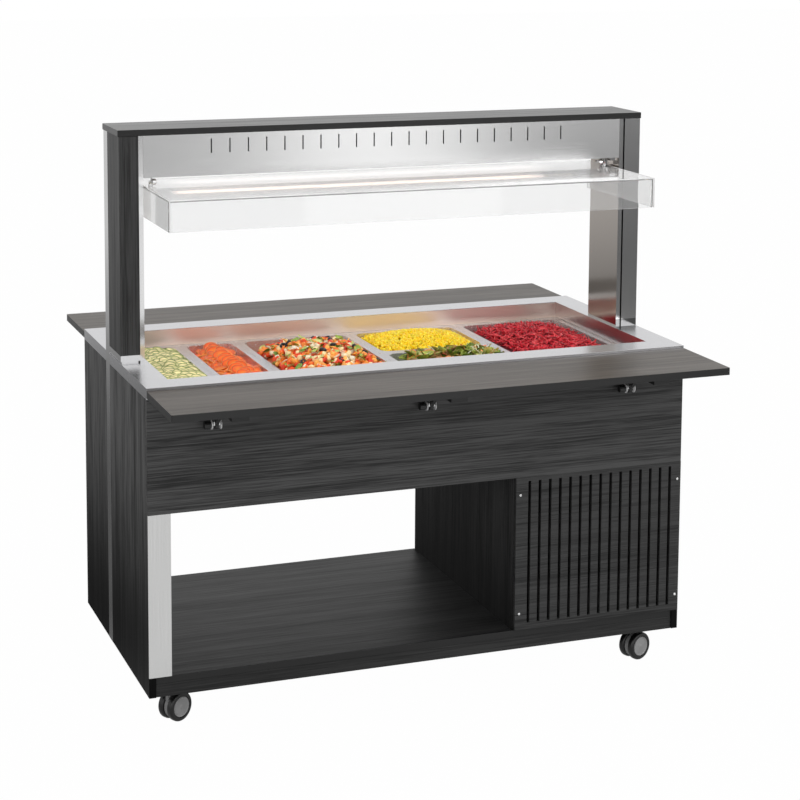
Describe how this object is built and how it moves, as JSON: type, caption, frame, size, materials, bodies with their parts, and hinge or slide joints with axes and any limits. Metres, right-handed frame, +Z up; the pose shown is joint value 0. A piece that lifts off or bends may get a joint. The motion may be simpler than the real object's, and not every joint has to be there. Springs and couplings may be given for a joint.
{
  "type": "mobile salad bar",
  "caption": "Refrigerated buffet cart with food pans in a steel well, folding tray shelves, lit canopy on posts, clear hood, open lower shelf and twin-wheel casters.",
  "frame": {"origin": "on the floor under the middle of the body", "axes": "+X along the cart towards the end with the cooling unit, +Y from the pictured long side to the other, +Z up"},
  "size_m": [1.46, 1.2, 1.468],
  "materials": {
    "laminate": "dark grey laminated board with a fine texture",
    "shelf_laminate": "satin dark grey laminate",
    "brushed_steel": "brushed stainless sheet",
    "pan_steel": "satin pressed stainless",
    "dark_metal": "dark powder coat",
    "black_enamel": "black enamel",
    "black_plastic": "moulded black plastic",
    "grey_plastic": "moulded grey plastic",
    "caster_rubber": "black rubber tyre",
    "foam": "rigid insulation foam",
    "lamp_white": "white diffuser",
    "clear_acrylic": "clear acrylic"
  },
  "bodies": {
    "cart": {"floor_board": "laminate", "side_panel_left": "laminate", "side_panel_right": "laminate", "divider_panel": "laminate", "under_panel": "laminate", "apron_front": "laminate", "apron_rear": "laminate", "grille_front": "laminate", "grille_rear": "laminate", "post_cover_left": "laminate", "post_cover_right": "laminate", "canopy_board": "laminate", "corner_post_front": "brushed_steel", "corner_post_rear": "brushed_steel", "counter_top": "brushed_steel", "well_tank": "brushed_steel", "tank_floor": "brushed_steel", "drain_pipe": "brushed_steel", "pan_bars": "brushed_steel", "post_frame_left": "brushed_steel", "post_frame_right": "brushed_steel", "canopy_channel": "brushed_steel", "shelf_rail_front": "brushed_steel", "shelf_rail_rear": "brushed_steel", "base_frame": "dark_metal", "condenser": "dark_metal", "compressor": "black_enamel", "control_plate": "black_plastic", "power_inlet": "black_plastic", "insulation": "foam", "lamp": "lamp_white"},
    "hood": {"sneeze_hood": "clear_acrylic"},
    "front_shelf": {"shelf_front": "shelf_laminate", "shelf_arm_front_1": "brushed_steel", "shelf_arm_front_2": "brushed_steel", "shelf_arm_front_3": "brushed_steel"},
    "rear_shelf": {"shelf_rear": "shelf_laminate", "shelf_arm_rear_1": "brushed_steel", "shelf_arm_rear_2": "brushed_steel", "shelf_arm_rear_3": "brushed_steel"},
    "fan": {"fan_rotor": "black_plastic"},
    "power_rocker": {"power_switch": "black_plastic"},
    "light_rocker": {"light_switch": "black_plastic"},
    "up_key": {"key_up": "grey_plastic"},
    "down_key": {"key_down": "grey_plastic"},
    "valve_lever": {"drain_lever": "brushed_steel"},
    "food_pan_1": {"pan_1": "pan_steel"},
    "food_pan_2": {"pan_2": "pan_steel"},
    "food_pan_3": {"pan_3": "pan_steel"},
    "food_pan_4": {"pan_4": "pan_steel"},
    "food_pan_5": {"pan_5": "pan_steel"},
    "food_pan_6": {"pan_6": "pan_steel"},
    "swivel_front_left": {"caster_yoke_front_left": "grey_plastic"},
    "wheels_front_left": {"caster_wheels_front_left": "caster_rubber"},
    "swivel_front_right": {"caster_yoke_front_right": "grey_plastic"},
    "wheels_front_right": {"caster_wheels_front_right": "caster_rubber"},
    "swivel_rear_left": {"caster_yoke_rear_left": "grey_plastic"},
    "wheels_rear_left": {"caster_wheels_rear_left": "caster_rubber"},
    "swivel_rear_right": {"caster_yoke_rear_right": "grey_plastic"},
    "wheels_rear_right": {"caster_wheels_rear_right": "caster_rubber"}
  },
  "joints": [
    {"name": "pan_1_lift", "type": "slide", "parent": "cart", "child": "food_pan_1", "axis": [0, 0, 1], "range_m": [0, 0.16]},
    {"name": "pan_2_lift", "type": "slide", "parent": "cart", "child": "food_pan_2", "axis": [0, 0, 1], "range_m": [0, 0.16]},
    {"name": "pan_3_lift", "type": "slide", "parent": "cart", "child": "food_pan_3", "axis": [0, 0, 1], "range_m": [0, 0.16]},
    {"name": "pan_4_lift", "type": "slide", "parent": "cart", "child": "food_pan_4", "axis": [0, 0, 1], "range_m": [0, 0.16]},
    {"name": "pan_5_lift", "type": "slide", "parent": "cart", "child": "food_pan_5", "axis": [0, 0, 1], "range_m": [0, 0.16]},
    {"name": "pan_6_lift", "type": "slide", "parent": "cart", "child": "food_pan_6", "axis": [0, 0, 1], "range_m": [0, 0.16]},
    {"name": "hood_tilt", "type": "hinge", "parent": "cart", "child": "hood", "pos_m": [0, -0.045, 1.3295], "axis": [-1, 0, 0], "range_deg": [0, 30]},
    {"name": "front_shelf_fold", "type": "hinge", "parent": "cart", "child": "front_shelf", "pos_m": [0, -0.375, 0.776], "axis": [1, 0, 0], "range_deg": [0, 90]},
    {"name": "rear_shelf_fold", "type": "hinge", "parent": "cart", "child": "rear_shelf", "pos_m": [0, 0.375, 0.776], "axis": [-1, 0, 0], "range_deg": [0, 90]},
    {"name": "fan_spin", "type": "hinge", "parent": "cart", "child": "fan", "pos_m": [0.48575, -0.228, 0.289], "axis": [0, 1, 0], "continuous": true},
    {"name": "power_rocker_tilt", "type": "hinge", "parent": "cart", "child": "power_rocker", "pos_m": [0.42075, 0.3575, 0.687], "axis": [-1, 0, 0], "range_deg": [0, 16]},
    {"name": "light_rocker_tilt", "type": "hinge", "parent": "cart", "child": "light_rocker", "pos_m": [0.44775, 0.3575, 0.687], "axis": [-1, 0, 0], "range_deg": [0, 16]},
    {"name": "up_key_press", "type": "slide", "parent": "cart", "child": "up_key", "axis": [0, -1, 0], "range_m": [0, 0.0015], "stiffness_N_per_m": 400, "springref_m": -0.0005},
    {"name": "down_key_press", "type": "slide", "parent": "cart", "child": "down_key", "axis": [0, -1, 0], "range_m": [0, 0.0015], "stiffness_N_per_m": 400, "springref_m": -0.0005},
    {"name": "drain_lever_turn", "type": "hinge", "parent": "cart", "child": "valve_lever", "pos_m": [0.33, 0.1697, 0.513], "axis": [0, 1, 0], "range_deg": [0, 90]},
    {"name": "swivel_front_left_turn", "type": "hinge", "parent": "cart", "child": "swivel_front_left", "pos_m": [-0.656, -0.278, 0.09], "axis": [0, 0, 1], "continuous": true},
    {"name": "wheels_front_left_roll", "type": "hinge", "parent": "swivel_front_left", "child": "wheels_front_left", "pos_m": [-0.64041, -0.269, 0.0375], "axis": [-0.5, 0.866, 0], "continuous": true},
    {"name": "swivel_front_right_turn", "type": "hinge", "parent": "cart", "child": "swivel_front_right", "pos_m": [0.656, -0.278, 0.09], "axis": [0, 0, 1], "continuous": true},
    {"name": "wheels_front_right_roll", "type": "hinge", "parent": "swivel_front_right", "child": "wheels_front_right", "pos_m": [0.63909, -0.28416, 0.0375], "axis": [-0.342, 0.9397, 0], "continuous": true},
    {"name": "swivel_rear_left_turn", "type": "hinge", "parent": "cart", "child": "swivel_rear_left", "pos_m": [-0.656, 0.278, 0.09], "axis": [0, 0, 1], "continuous": true},
    {"name": "wheels_rear_left_roll", "type": "hinge", "parent": "swivel_rear_left", "child": "wheels_rear_left", "pos_m": [-0.63956, 0.28532, 0.0375], "axis": [-0.4067, 0.9135, 0], "continuous": true},
    {"name": "swivel_rear_right_turn", "type": "hinge", "parent": "cart", "child": "swivel_rear_right", "pos_m": [0.656, 0.278, 0.09], "axis": [0, 0, 1], "continuous": true},
    {"name": "wheels_rear_right_roll", "type": "hinge", "parent": "swivel_rear_right", "child": "wheels_rear_right", "pos_m": [0.6387, 0.27304, 0.0375], "axis": [-0.2756, 0.9613, 0], "continuous": true}
  ]
}
